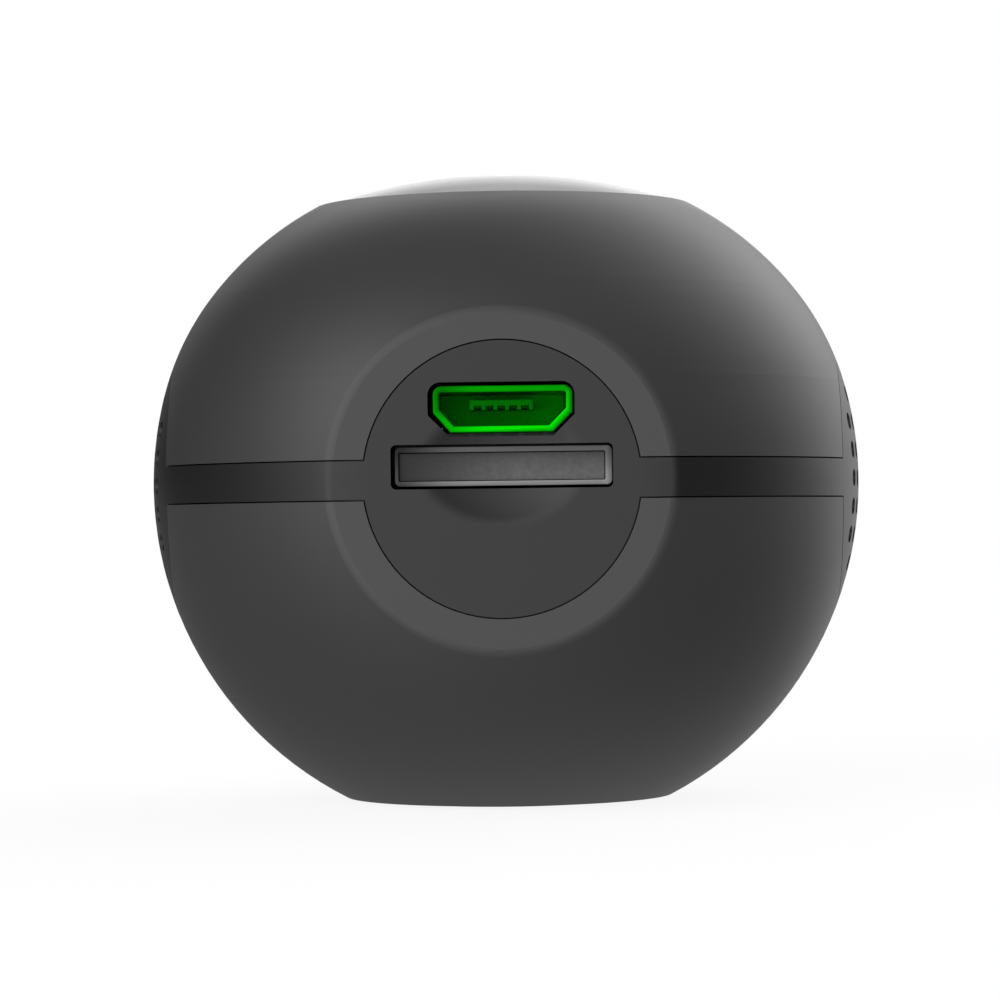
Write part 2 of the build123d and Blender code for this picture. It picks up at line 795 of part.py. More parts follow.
def card_contacts():
    """Spring contacts in a row, hanging from the sleeve's ceiling over the card."""
    ceiling = card_top - card_rim
    y = card_back - card_base_back - card_contact_length / 2
    row = []
    for number in range(card_contact_count):
        x = (number - (card_contact_count - 1) / 2) * card_contact_pitch
        row.append(block(card_contact_width, card_contact_length, ceiling - card_contact_thickness, ceiling,
                         x=x, y=y))
    return Compound(row)


def card_tray():
    """Tray whose end closes the slot's mouth, with a floor for the card."""
    width = card_opening_width - 2 * slip
    low = card_floor + slip
    high = card_top - card_rim - slip
    end = block(width, tray_front, low, high, y=tray_front_face + tray_front / 2)
    length = card_length + slip
    floor = block(width, length, low, low + tray_floor, y=card_start + length / 2)
    return end + floor


def memory_card():
    """Card with a cut corner and a grip ridge at its outer end, lying on the tray."""
    low = card_floor + slip + tray_floor
    y = card_start + slip + card_length / 2
    card = block(card_width, card_length, low, low + card_thickness, y=y)
    corner = block(2 * card_notch, 2 * card_notch_length, low, low + card_thickness,
                   x=card_width / 2, y=card_start + slip + card_length)
    ridge = block(card_width, card_notch, low + card_thickness, low + card_thickness + card_ridge,
                  y=card_start + slip + card_notch / 2)
    return card - corner + ridge


def processor():
    return block(processor_width, chip_area_length, board_bottom - processor_height, board_bottom,
                 x=-chip_spacing - memory_width / 2, y=can_centre)


def memory_chip():
    return block(memory_width, chip_area_length, board_bottom - memory_height, board_bottom,
                 x=chip_spacing + processor_width / 2, y=can_centre)


def shield_can():
    low = board_bottom - can_height
    can = block(can_width, can_length, low, board_bottom, y=can_centre)
    return can - block(can_width - 2 * can_wall, can_length - 2 * can_wall, low + can_wall, board_bottom,
                       y=can_centre)


def flex_sockets():
    """Three sockets under the board: left, right and rear."""
    low = board_bottom - flex_socket_height
    rear = board_rear_edge - flex_socket_length / 2
    return Compound([
        block(flex_socket_length, flex_socket_width, low, board_bottom, x=-flex_socket_distance),
        block(flex_socket_length, flex_socket_width, low, board_bottom, x=flex_socket_distance),
        block(flex_socket_width, flex_socket_length, low, board_bottom, y=rear),
    ])


def dust_mesh(side):
    start = side * (grille_back - mesh_thickness)
    end = side * grille_back
    return rod(pocket_radius - slip, min(start, end), max(start, end), left_to_right)


def speaker_gasket():
    mesh_face = -speaker_front - speaker_gasket_thickness
    outer = rod(pocket_radius - slip, mesh_face, -speaker_front, left_to_right)
    inner = rod(pocket_radius - slip - speaker_gasket_width, -huge, 0, left_to_right)
    return outer - inner


def speaker():
    """Round frame with a conical front."""
    body = rod(pocket_radius - slip, -speaker_front, -speaker_back, left_to_right)
    cone = Cone(speaker_cone_radius, speaker_dome_radius, speaker_cone_depth)
    return body - Pos(-speaker_front + speaker_cone_depth / 2, 0, 0) * Rot(0, 90, 0) * cone


def microphone_gasket():
    ring_outer = rod(sound_gasket_outer, sound_board_front, grille_back - mesh_thickness, left_to_right)
    return ring_outer - rod(sound_gasket_inner, 0, huge, left_to_right)


def microphone_board():
    board = rod(pocket_radius - slip, sound_board_back, sound_board_front, left_to_right)
    return board - rod(sound_port_radius, 0, huge, left_to_right)


def microphone():
    return Pos(sound_board_back - sound_chip_height / 2, 0, 0) * Box(
        sound_chip_height, sound_chip_length, sound_chip_width)


def battery():
    cell = block(battery_length, battery_width, battery_bottom, battery_top)
    return fillet(cell.edges().filter_by(Axis.Z), battery_corner)


def battery_cradle():
    """Tub for the battery, with four screwed ears above and the tripod insert's boss below."""
    inner_length = battery_length + 2 * battery_gap
    inner_width = battery_width + 2 * battery_gap
    rim = battery_top + cradle_rim_height
    tub = block(inner_length + 2 * cradle_wall, inner_width + 2 * cradle_wall, cradle_bottom, rim)
    tub = fillet(tub.edges().filter_by(Axis.Z), battery_corner + battery_gap + cradle_wall)
    ear_low = lug_bottom - ear_height
    arm_start = battery_width / 2
    for angle, corner in zip(corner_angles, corners):
        length = post_distance - arm_start
        arm = Pos(arm_start + length / 2, 0, ear_low + ear_height / 2) * Box(length, arm_width, ear_height)
        tub += Rot(0, 0, angle) * arm
        tub += corner * rod(ear_radius, ear_low, lug_bottom)
    tub += rod(boss_radius, base_inside + slip, cradle_bottom)
    tub -= rod(insert_radius + slip, -huge, -base_drop + insert_length + slip)
    inside = block(inner_length, inner_width, battery_bottom - battery_gap, 0)
    tub -= fillet(inside.edges().filter_by(Axis.Z), battery_corner + battery_gap)
    for corner in corners:
        tub -= corner * rod(case_screw_radius + screw_clearance, -huge, huge)
    return tub


def battery_pad():
    """Foam between the battery and the card socket."""
    front = pad_front_gap - battery_width / 2
    length = card_back - pad_inset - front
    return block(pad_width, length, battery_top, battery_top + pad_thickness, y=front + length / 2)


def socket_mouth():
    """Height at which a flex ends, just under its socket."""
    return board_bottom - flex_socket_height - flex_air - flex_thickness / 2


def flex(path, plane):
    """Flat flex along a path, drawn in a plane and centred on it."""
    return extrude(plane * trace(Polyline(*path), flex_thickness), flex_width / 2, both=True)


def battery_flex():
    """From the battery's top, over the cradle's wall, up to the rear socket."""
    lie = battery_top + flex_air + flex_thickness / 2
    over = battery_top + cradle_rim_height + flex_thickness
    socket = board_rear_edge - flex_socket_length / 2
    end = socket_mouth()
    wall_inside = battery_width / 2 - battery_corner
    path = [(wall_inside - flex_width, lie), (wall_inside, lie), (wall_inside + battery_corner / 2, over),
            (socket - flex_thickness, over), (socket, end)]
    return flex(path, Plane((0, 0, 0), x_dir=(0, 1, 0), z_dir=(1, 0, 0)))


def speaker_flex():
    """From the back of the speaker to the left socket."""
    lie = -(speaker_back - flex_air - flex_thickness / 2)
    end = socket_mouth()
    path = [(lie, -flex_width), (lie, -flex_width / 3),
            (-flex_socket_distance - flex_thickness, end - 2 * slip), (-flex_socket_distance, end)]
    return flex(path, Plane.XZ)


def microphone_flex():
    """From the back of the microphone board, under the microphone, to the right socket."""
    lie = sound_board_back - flex_air - flex_thickness / 2
    end = socket_mouth()
    under = sound_board_back - sound_chip_height - flex_thickness
    path = [(lie, -pocket_radius + flex_width / 2), (lie, -flex_width),
            (under - flex_thickness, -flex_width / 2), (under - flex_thickness, 0),
            (flex_socket_distance, end)]
    return flex(path, Plane.XZ)


def shutter_button():
    """Dished cap with a flange behind the rear disc and a stem on the switch."""
    cap_body = rod(button_radius, button_flange_front - slip, button_face, front_to_rear)
    dish_centre = button_face - button_dish_depth + button_dish_radius
    cap_body -= Pos(0, dish_centre, 0) * Sphere(button_dish_radius)
    flange_back = button_flange_front - button_flange_height
    cap_body += rod(button_flange_radius, flange_back, button_flange_front, front_to_rear)
    return cap_body + rod(button_stem_radius, button_stem_end, flange_back, front_to_rear)


def tact_switch():
    body = Pos(0, button_board_front + switch_height / 2, 0) * Box(switch_width, switch_height, switch_width)
    return body - rod(plunger_radius + slip, 0, huge, front_to_rear)


def switch_plunger():
    return rod(plunger_radius, button_stem_end - plunger_length, button_stem_end, front_to_rear)


def button_board():
    """Upright board on the rear disc's two bosses."""
    height = button_board_top - button_board_bottom
    board = Pos(0, (button_board_back + button_board_front) / 2, button_board_bottom + height / 2) * Box(
        button_board_width, button_board_thickness, height)
    for x in (-button_boss_distance, button_boss_distance):
        board -= Pos(x, 0, 0) * rod(button_screw_radius + screw_clearance, 0, huge, front_to_rear)
    return board


def board_header():
    return block(header_width, header_length, board_top, board_top + header_height,
                 y=button_board_back - header_length / 2)


def status_led():
    return Pos(0, button_board_front + led_height / 2, light_height) * Box(led_width, led_height, led_height)


def light_pipe():
    """Clear pin through the rear disc, held by a collar behind it."""
    start = button_board_front + led_height + light_gap
    pin = rod(light_radius, start, face_distance - light_recess, front_to_rear)
    seat = plate_back - slip
    collar = rod(light_collar_radius, seat - light_collar_height, seat, front_to_rear)
    return Pos(0, 0, light_height) * (pin + collar)


def tripod_insert():
    """Brass bush with a flange under the base and a blind threaded hole from below."""
    end = -base_drop + insert_length
    bush = rod(insert_radius, -base_drop, end)
    bush += rod(insert_flange_radius, -base_drop, -base_drop + insert_flange_height)
    bush -= rod(tripod_bore_radius, -huge, -base_drop + tripod_bore_depth)
    mouth = bush.edges().filter_by(GeomType.CIRCLE).group_by(Axis.Z)[0].sort_by(SortBy.RADIUS)[0]
    return chamfer(mouth, insert_mouth_chamfer)


def foot_ring():
    top = -base_drop + foot_groove_depth
    foot = ring(foot_inner_radius, foot_outer_radius, -base_drop - foot_proud, top)
    lower = foot.edges().filter_by(GeomType.CIRCLE).group_by(Axis.Z)[0]
    return fillet(lower, foot_proud / 2)


def screw(radius, grip_length):
    """Pan-head screw pointing up, its head under Z = 0, with a cross recess."""
    head_radius = radius * screw_head_ratio
    recess_floor = recess_depth - screw_head_height
    recess = block(head_radius, recess_width, -screw_head_height, recess_floor)
    body = rod(head_radius, -screw_head_height, 0) + rod(radius, 0, grip_length)
    return body - recess - Rot(0, 0, 90) * recess


def case_screws():
    """Four screws through cradle, frame and board into the upper shell's posts."""
    start = lug_bottom - ear_height
    one = screw(case_screw_radius, board_top + case_screw_grip - start)
    return Compound([Pos(0, 0, start) * corner * one for corner in corners])


def holder_screws():
    one = Pos(0, 0, board_bottom) * screw(holder_screw_radius, board_thickness + holder_screw_grip)
    return Compound([Pos(x, 0, 0) * one for x in (-holder_ear_distance, holder_ear_distance)])


def button_board_screws():
    one = front_to_rear * screw(button_screw_radius, button_board_thickness + button_screw_grip - slip)
    places = (-button_boss_distance, button_boss_distance)
    return Compound([Pos(x, button_board_back, 0) * one for x in places])


outer_form, hollow_form = casing_skin()
pieces = {
    "upper_shell": upper_shell(outer_form, hollow_form),
    "lower_shell": lower_shell(outer_form, hollow_form),
    "middle_frame": middle_frame(outer_form),
    "lens_dome": lens_dome(),
    "dome_seal": dome_seal(),
    "lens_baffle": lens_baffle(),
    "lens_barrel": lens_barrel(),
    "lens_holder": lens_holder(),
    "infrared_filter": infrared_filter(),
    "image_sensor": image_sensor(),
    "main_board": main_board(),
    "board_parts": board_parts(),
    "usb_shell": usb_shell(),
    "usb_insulator": usb_insulator(),
    "usb_contacts": Compound([usb_contact(x, 0) for x in contact_places()]),
    "card_socket_cover": card_socket_cover(),
    "card_socket_base": card_socket_base(),
    "card_contacts": card_contacts(),
    "card_tray": card_tray(),
    "memory_card": memory_card(),
    "processor": processor(),
    "memory_chip": memory_chip(),
    "shield_can": shield_can(),
    "flex_sockets": flex_sockets(),
    "left_mesh": dust_mesh(-1),
    "right_mesh": dust_mesh(1),
    "speaker_gasket": speaker_gasket(),
    "speaker": speaker(),
    "microphone_gasket": microphone_gasket(),
    "microphone_board": microphone_board(),
    "microphone": microphone(),
    "battery": battery(),
    "battery_cradle": battery_cradle(),
    "battery_pad": battery_pad(),
    "battery_flex": battery_flex(),
    "speaker_flex": speaker_flex(),
    "microphone_flex": microphone_flex(),
    "shutter_button": shutter_button(),
    "tact_switch": tact_switch(),
    "switch_plunger": switch_plunger(),
    "button_board": button_board(),
    "board_header": board_header(),
    "status_led": status_led(),
    "light_pipe": light_pipe(),
    "tripod_insert": tripod_insert(),
    "foot_ring": foot_ring(),
    "case_screws": case_screws(),
    "holder_screws": holder_screws(),
    "button_board_screws": button_board_screws(),
}
pieces.update(lens_stack())

os.makedirs("parts", exist_ok=True)
for name, piece in pieces.items():
    export_step(Pos(0, 0, centre_height) * piece, f"parts/{name}.step")
    print(name, len(piece.solids()), round(piece.volume, 3))
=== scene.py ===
import bmesh
import bpy
import math
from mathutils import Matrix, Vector


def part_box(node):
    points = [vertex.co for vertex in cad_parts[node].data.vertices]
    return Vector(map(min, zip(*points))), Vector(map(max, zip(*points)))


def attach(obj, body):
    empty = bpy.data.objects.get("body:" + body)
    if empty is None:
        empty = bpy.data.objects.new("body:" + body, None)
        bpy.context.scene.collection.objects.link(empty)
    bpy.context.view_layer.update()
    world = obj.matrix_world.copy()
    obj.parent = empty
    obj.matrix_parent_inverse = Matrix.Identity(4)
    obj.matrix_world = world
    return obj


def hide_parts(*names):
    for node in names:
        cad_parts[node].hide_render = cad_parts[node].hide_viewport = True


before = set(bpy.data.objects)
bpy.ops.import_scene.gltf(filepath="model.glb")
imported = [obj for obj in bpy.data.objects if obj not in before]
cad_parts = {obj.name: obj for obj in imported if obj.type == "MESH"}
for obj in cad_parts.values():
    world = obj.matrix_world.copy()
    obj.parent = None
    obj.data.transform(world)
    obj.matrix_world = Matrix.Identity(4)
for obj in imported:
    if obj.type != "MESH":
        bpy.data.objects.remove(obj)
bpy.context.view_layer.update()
mm = 0.001

# Camera: a long lens about level with the middle of the ball, set where the photograph's edges
# put it.
focal_length = 131.907
sensor_width = 36.0
camera_place = (2.6289, -219.2693, 16.2806)
camera_turn = (90.3954, 0.6990, 0.7898)
nearest_view = 10 * mm
farthest_view = 10000 * mm
camera_data = bpy.data.cameras.new("photo_camera")
camera_data.lens = focal_length
camera_data.sensor_width = sensor_width
camera_data.clip_start = nearest_view
camera_data.clip_end = farthest_view
camera = bpy.data.objects.new("photo_camera", camera_data)
camera.location = Vector(camera_place) * mm
camera.rotation_euler = [math.radians(angle) for angle in camera_turn]
bpy.context.scene.collection.objects.link(camera)
bpy.context.scene.camera = camera
bpy.context.scene.view_settings.view_transform = "Standard"

# Casing: two half shells of moulded polycarbonate, with the fine matt grain that spark erosion
# leaves in the mould. The eye sees a soft grey sheen with no sharp reflection.
ball_centre = (0.0, 0.0, 18.82 * mm)


def linear(colour):
    """A hex colour as it is seen on a screen, turned to linear light."""
    shares = [int(colour[place:place + 2], 16) / 255 for place in (1, 3, 5)]
    return [share / 12.92 if share <= 0.04045 else ((share + 0.055) / 1.055) ** 2.4
            for share in shares] + [1.0]


def add(tree, kind, inputs=None, **settings):
    """Adds a node. Its inputs are numbers, colours or other nodes' outputs."""
    node = tree.nodes.new("ShaderNode" + kind)
    for name, value in settings.items():
        setattr(node, name, value)
    for name, value in (inputs or {}).items():
        if isinstance(value, bpy.types.NodeSocket):
            tree.links.new(value, node.inputs[name])
        else:
            node.inputs[name].default_value = value
    return node


def new_finish(name, values):
    """A material with one Principled shader, and the Object coordinates that its patterns read."""
    material = bpy.data.materials.new(name)
    material.use_nodes = True
    tree = material.node_tree
    shader = tree.nodes["Principled BSDF"]
    for socket, value in values.items():
        shader.inputs[socket].default_value = value
    return material, tree, shader, add(tree, "TexCoord").outputs["Object"]


def paint(tree, shader, share, dark, light):
    """Base colour between two hex colours, by a share that a pattern gives."""
    colours = add(tree, "Mix", {"Factor": share, "A": linear(dark), "B": linear(light)},
                  data_type="RGBA")
    tree.links.new(colours.outputs["Result"], shader.inputs["Base Color"])


def dull(tree, shader, share, low, high):
    """Roughness between two values, by a share that a pattern gives."""
    gloss = add(tree, "MapRange", {"Value": share, "To Min": low, "To Max": high})
    tree.links.new(gloss.outputs["Result"], shader.inputs["Roughness"])


def raise_up(tree, shader, height, depth):
    """Bump of a depth in millimetres from a pattern that gives a height from 0 to 1."""
    bump = add(tree, "Bump", {"Height": height, "Distance": depth * mm, "Strength": 1.0})
    tree.links.new(bump.outputs["Normal"], shader.inputs["Normal"])


def put_on(material, *nodes):
    """Gives CAD nodes a material in place of the frame's plain one."""
    for node in nodes:
        for material_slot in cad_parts[node].material_slots:
            material_slot.material = material


def moulded(name, dark, light, roughness, grain, depth, patch=6.0, spread=0.03):
    """Moulded plastic or rubber: a fine grain from the mould, and faint patches in colour and gloss."""
    material, tree, shader, place = new_finish(name, {})
    patches = add(tree, "TexNoise", {"Vector": place, "Scale": 1 / (patch * mm), "Detail": 3.0})
    paint(tree, shader, patches.outputs["Fac"], dark, light)
    dull(tree, shader, patches.outputs["Fac"], roughness - spread, roughness + spread)
    grains = add(tree, "TexNoise", {"Vector": place, "Scale": 1 / (grain * mm), "Detail": 2.0})
    raise_up(tree, shader, grains.outputs["Fac"], depth)
    return material


put_on(moulded("spark_eroded_polycarbonate", "#454547", "#474748", 0.3, 0.12, 0.002),
       "upper_shell", "lower_shell")

same_place = 0.0001 * mm


def copied(node, flat=1.0):
    """A merged copy of a CAD node's mesh. Faces that bend by less than flat degrees are joined."""
    form = bmesh.new()
    form.from_mesh(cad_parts[node].data)
    bmesh.ops.remove_doubles(form, verts=form.verts, dist=same_place)
    if flat:
        bmesh.ops.dissolve_limit(form, angle_limit=math.radians(flat), verts=form.verts,
                                 edges=form.edges)
    return form


def finished_piece(name, form, material, node, body, smooth=40.0):
    """Makes a form a piece that stands for its CAD node, and rides as the node does."""
    mesh = bpy.data.meshes.new(name)
    bmesh.ops.triangulate(form, faces=[face for face in form.faces if len(face.verts) > 4])
    form.to_mesh(mesh)
    form.free()
    if "custom_normal" in mesh.attributes:
        mesh.attributes.remove(mesh.attributes["custom_normal"])
    mesh.materials.append(material)
    mesh.shade_smooth()
    mesh.set_sharp_from_angle(angle=math.radians(smooth))
    piece = bpy.data.objects.new(name, mesh)
    bpy.context.scene.collection.objects.link(piece)
    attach(piece, body)
    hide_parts(node)
    return piece


# Middle frame: belt, port disc, rear disc and grille discs in one moulding of smoother, darker
# ABS, held between the shells, with the shutter button in the same plastic. The rim of its finger
# scoop rolls softly into the port disc's face, which is cut into a fine grid for that.
satin_abs = moulded("satin_abs", "#222223", "#242424", 0.3, 0.1, 0.001)
put_on(satin_abs, "shutter_button")
port_face = -18.7
port_disc_radius = 7.7
scoop_middle = 19.52
scoop_depth = 0.6
scoop_across = 16.069  # the radius of its curve from left to right
scoop_upright = 8.308  # the radius of its curve from top to bottom
scoop_reach = 5.1
scoop_rise = 3.9
scoop_step = 0.15
surface_slack = 0.03
rim_roll = 0.12


def scoop_dip(x, z):
    """How far the scoop's surface lies behind the port disc's face. It is below zero past the rim."""
    arm = scoop_upright - scoop_across + math.sqrt(scoop_across ** 2 - x ** 2)
    return scoop_depth - scoop_upright + math.sqrt(max(0.0, arm ** 2 - (z - scoop_middle) ** 2))


def on_port_side(vert):
    """Whether a vertex lies on the port disc's face or in the scoop."""
    x, y, z = vert.co / mm
    if math.hypot(x, z - ball_centre[2] / mm) > port_disc_radius:
        return False
    return abs(y - port_face - max(0.0, scoop_dip(x, z))) < surface_slack


def even_steps(reach):
    """Places from -reach to reach that lie one step of the scoop's grid apart."""
    most = int(reach / scoop_step)
    return [scoop_step * count for count in range(-most, most + 1)]


form = copied("middle_frame", flat=0.0)
near = [vert for vert in form.verts if vert.co.y < (port_face + scoop_depth + surface_slack) * mm]
skin = {face for vert in near for face in vert.link_faces
        if all(on_port_side(other) for other in face.verts)}
cuts = [((place * mm, 0.0, 0.0), (1, 0, 0)) for place in even_steps(scoop_reach)]
cuts += [((0.0, 0.0, (scoop_middle + place) * mm), (0, 0, 1)) for place in even_steps(scoop_rise)]
for point, normal in cuts:
    edges = {edge for face in skin for edge in face.edges}
    verts = {vert for edge in edges for vert in edge.verts}
    whole = bmesh.ops.bisect_plane(form, geom=list(skin) + list(edges) + list(verts),
                                   dist=same_place, plane_co=point, plane_no=normal)
    skin = {part for part in whole["geom"]
            if isinstance(part, bmesh.types.BMFace) and part.is_valid}
for vert in {vert for face in skin for vert in face.verts}:
    x, y, z = vert.co / mm
    dip = scoop_dip(x, z)
    if abs(dip) < rim_roll:
        dip = (dip + rim_roll) ** 2 / (4 * rim_roll)
    vert.co.y = (port_face + max(0.0, dip)) * mm
finished_piece("frame_moulding", form, satin_abs, "middle_frame", "casing",
               smooth=30.0)

# Lens window: a shallow dome of clear acrylic, moulded and polished, and glued on a black foam seal
# in the top opening. Its inside is printed black, apart from a round window over the lens, so from
# the side it mirrors the room, white along its crest and greyer down to the shell.
window_radius = 10.55
window_rim = 34.5
window_apex = 37.149
window_curve = 32.0
window_wall = 1.0
clear_radius = 4.4
print_start = 0.05
print_facing = -0.3  # the upright part of the normal of a face that looks down
window_slack = 0.001
arc_steps = 18
turn_steps = 96


def arc_height(apex, curve, reach):
    """How high a dome's surface stands at a distance from its axis."""
    return apex - curve + math.sqrt(curve ** 2 - reach ** 2)


inner_apex = window_apex - window_wall
inner_curve = window_curve - window_wall
inner_rim = math.sqrt(inner_curve ** 2 - (window_rim - inner_apex + inner_curve) ** 2)
outer_reaches = [window_radius * step / arc_steps for step in range(arc_steps + 1)]
profile = [(reach, arc_height(window_apex, window_curve, reach)) for reach in outer_reaches]
profile += [(window_radius, window_rim), (inner_rim, window_rim)]
for step in range(arc_steps - 1, -1, -1):
    share = 2 * step / arc_steps
    reach = clear_radius * share
    if share > 1:
        reach = clear_radius + (inner_rim - clear_radius) * (share - 1)
    profile.append((reach, arc_height(inner_apex, inner_curve, reach)))
form = bmesh.new()
points = [form.verts.new((reach * mm, 0.0, height * mm)) for reach, height in profile]
lines = [form.edges.new(pair) for pair in zip(points[:-1], points[1:])]
bmesh.ops.spin(form, geom=points + lines, cent=(0, 0, 0), axis=(0, 0, 1), dvec=(0, 0, 0),
               angle=2 * math.pi, steps=turn_steps, use_merge=True, use_duplicate=False)
bmesh.ops.remove_doubles(form, verts=form.verts, dist=window_slack * mm)
bmesh.ops.recalc_face_normals(form, faces=form.faces)
for face in form.faces:
    middle = face.calc_center_median()
    inside = face.normal.z < print_facing and middle.z > (window_rim + print_start) * mm
    if inside and middle.xy.length > clear_radius * mm:
        face.material_index = 1
window, tree, shader, place = new_finish("polished_acrylic", {
    "IOR": 1.49, "Roughness": 0.0, "Transmission Weight": 1.0})
wipe_marks = add(tree, "TexNoise", {"Vector": place, "Scale": 1 / (3 * mm), "Detail": 4.0})
paint(tree, shader, wipe_marks.outputs["Fac"], "#f0f2f2", "#f8fafa")
printed, tree, shader, place = new_finish("black_printing_ink", {"Roughness": 0.6})
dots = add(tree, "TexNoise", {"Vector": place, "Scale": 1 / (0.1 * mm), "Detail": 2.0})
paint(tree, shader, dots.outputs["Fac"], "#050505", "#0b0b0c")
dome = finished_piece("lens_window", form, window, "lens_dome", "casing")
dome.data.materials.append(printed)


def foamed(name, dark, light, cell, depth):
    """Closed-cell foam: a matt surface of small round cells."""
    material, tree, shader, place = new_finish(name, {"Roughness": 0.9})
    cells = add(tree, "TexVoronoi", {"Vector": place, "Scale": 1 / (cell * mm)})
    paint(tree, shader, cells.outputs["Distance"], dark, light)
    raise_up(tree, shader, cells.outputs["Distance"], depth)
    return material


put_on(foamed("black_foam_tape", "#080808", "#1a1a1a", 0.15, 0.03), "dome_seal", "speaker_gasket")
put_on(foamed("grey_foam_pad", "#1c1c1c", "#383838", 0.3, 0.08), "battery_pad")


def distance_from(tree, place, centre, across):
    """How far a point is from an axis. Across is 1 in the two directions that count, else 0."""
    offset = add(tree, "VectorMath", {0: place, 1: centre}, operation="SUBTRACT")
    flat = add(tree, "VectorMath", {0: offset.outputs["Vector"], 1: across}, operation="MULTIPLY")
    return add(tree, "VectorMath", {0: flat.outputs["Vector"]}, operation="LENGTH").outputs["Value"]


def turned(name, dark, light, metallic, roughness, pitch, depth):
    """Turned on a lathe: fine rings round the camera's upright axis, in colour, gloss and height."""
    material, tree, shader, place = new_finish(name, {"Metallic": metallic})
    radius = distance_from(tree, place, (0, 0, 0), (1, 1, 0))
    rings = add(tree, "TexNoise", {"W": radius, "Scale": 1 / (pitch * mm), "Detail": 2.0},
                noise_dimensions="1D")
    paint(tree, shader, rings.outputs["Fac"], dark, light)
    dull(tree, shader, rings.outputs["Fac"], roughness - 0.06, roughness + 0.06)
    raise_up(tree, shader, rings.outputs["Fac"], depth)
    return material


# Lens: an anodised barrel with a lock ring, spacers and stop, all blackened, and four ground
# elements whose coating mirrors a faint violet. The baffle and the holder are moulded in black.
anodised = turned("black_anodised_aluminium", "#0a0a0b", "#121214", 0.0, 0.55, 0.15, 0.004)
anodised_gleam = 0.15
anodised.node_tree.nodes["Principled BSDF"].inputs["Specular IOR Level"].default_value = anodised_gleam
put_on(anodised, "lens_barrel", "lens_lock_ring", "front_spacer", "rear_spacer", "aperture_ring")
blackened = moulded("blackened_polycarbonate", "#0b0b0b", "#101010", 0.6, 0.1, 0.01)
put_on(blackened, "lens_baffle", "lens_holder")
coated, tree, shader, place = new_finish("coated_optical_glass", {
    "Base Color": linear("#eef3f6"), "IOR": 1.6, "Transmission Weight": 1.0,
    "Thin Film Thickness": 380.0, "Thin Film IOR": 1.38})
polish = add(tree, "TexNoise", {"Vector": place, "Scale": 1 / (2 * mm), "Detail": 2.0})
dull(tree, shader, polish.outputs["Fac"], 0.0, 0.01)
put_on(coated, "front_element", "second_element", "third_element", "fourth_element")

# Infrared filter: a plate of blue-green absorbing glass, cut square and polished.
filter_glass, tree, shader, place = new_finish("absorbing_filter_glass", {
    "IOR": 1.52, "Transmission Weight": 1.0})
streaks = add(tree, "TexNoise", {"Vector": place, "Scale": 1 / (4 * mm), "Detail": 2.0})
paint(tree, shader, streaks.outputs["Fac"], "#8fc7cf", "#9bd2d6")
dull(tree, shader, streaks.outputs["Fac"], 0.0, 0.02)
put_on(filter_glass, "infrared_filter")

# Image sensor: a fired ceramic package with a flat cover glass, over a dark field of pixels that
# shimmers green and violet.
sensor, tree, shader, place = new_finish("ceramic_package_under_glass", {
    "Thin Film Thickness": 450.0, "Thin Film IOR": 1.38})
sensor_field = 3.2 * mm
sides = add(tree, "SeparateXYZ", {"Vector": place})
across = add(tree, "Math", {0: sides.outputs["X"]}, operation="ABSOLUTE")
along = add(tree, "Math", {0: sides.outputs["Y"]}, operation="ABSOLUTE")
reach = add(tree, "Math", {0: across.outputs["Value"], 1: along.outputs["Value"]}, operation="MAXIMUM")
outside = add(tree, "Math", {0: reach.outputs["Value"], 1: sensor_field}, operation="GREATER_THAN")
paint(tree, shader, outside.outputs["Value"], "#161a2c", "#4a4740")
dull(tree, shader, outside.outputs["Value"], 0.08, 0.5)
put_on(sensor, "image_sensor")


track_share = 0.12


def tracked_board(name, mask, track, cell, roughness):
    """Circuit board: copper tracks that show paler through the lacquer, and stand a little proud."""
    material, tree, shader, place = new_finish(name, {})
    lanes = add(tree, "TexVoronoi", {"Vector": place, "Scale": 1 / (cell * mm), "Randomness": 0.45},
                feature="DISTANCE_TO_EDGE")
    copper = add(tree, "Math", {0: lanes.outputs["Distance"], 1: track_share}, operation="LESS_THAN")
    paint(tree, shader, copper.outputs["Value"], mask, track)
    dull(tree, shader, copper.outputs["Value"], roughness, roughness - 0.08)
    raise_up(tree, shader, copper.outputs["Value"], 0.02)
    return material


# Boards: glass-fibre laminate under green solder lacquer. The main board lies across the ball at
# the belt; the button board and the microphone's own small board stand upright.
put_on(tracked_board("green_solder_lacquer", "#0d3b24", "#1a5a36", 1.3, 0.35), "main_board")
put_on(tracked_board("fine_green_solder_lacquer", "#0f3f27", "#1d6039", 0.8, 0.35), "button_board",
       "microphone_board")

# Chip capacitors and resistors: fired tan ceramic with tinned ends, in two rows beside the lens.
chips, tree, shader, place = new_finish("fired_ceramic_with_tinned_ends", {})
chip_row = 8.6 * mm
end_cap = 0.28 * mm
sides = add(tree, "SeparateXYZ", {"Vector": place})
row = add(tree, "Math", {0: sides.outputs["Y"]}, operation="ABSOLUTE")
inward = add(tree, "Math", {0: row.outputs["Value"], 1: chip_row}, operation="SUBTRACT")
inward = add(tree, "Math", {0: inward.outputs["Value"]}, operation="ABSOLUTE")
tinned = add(tree, "Math", {0: inward.outputs["Value"], 1: end_cap}, operation="GREATER_THAN")
paint(tree, shader, tinned.outputs["Value"], "#8a6a48", "#c4c5c6")
dull(tree, shader, tinned.outputs["Value"], 0.55, 0.25)
tree.links.new(tinned.outputs["Value"], shader.inputs["Metallic"])
put_on(chips, "board_parts")


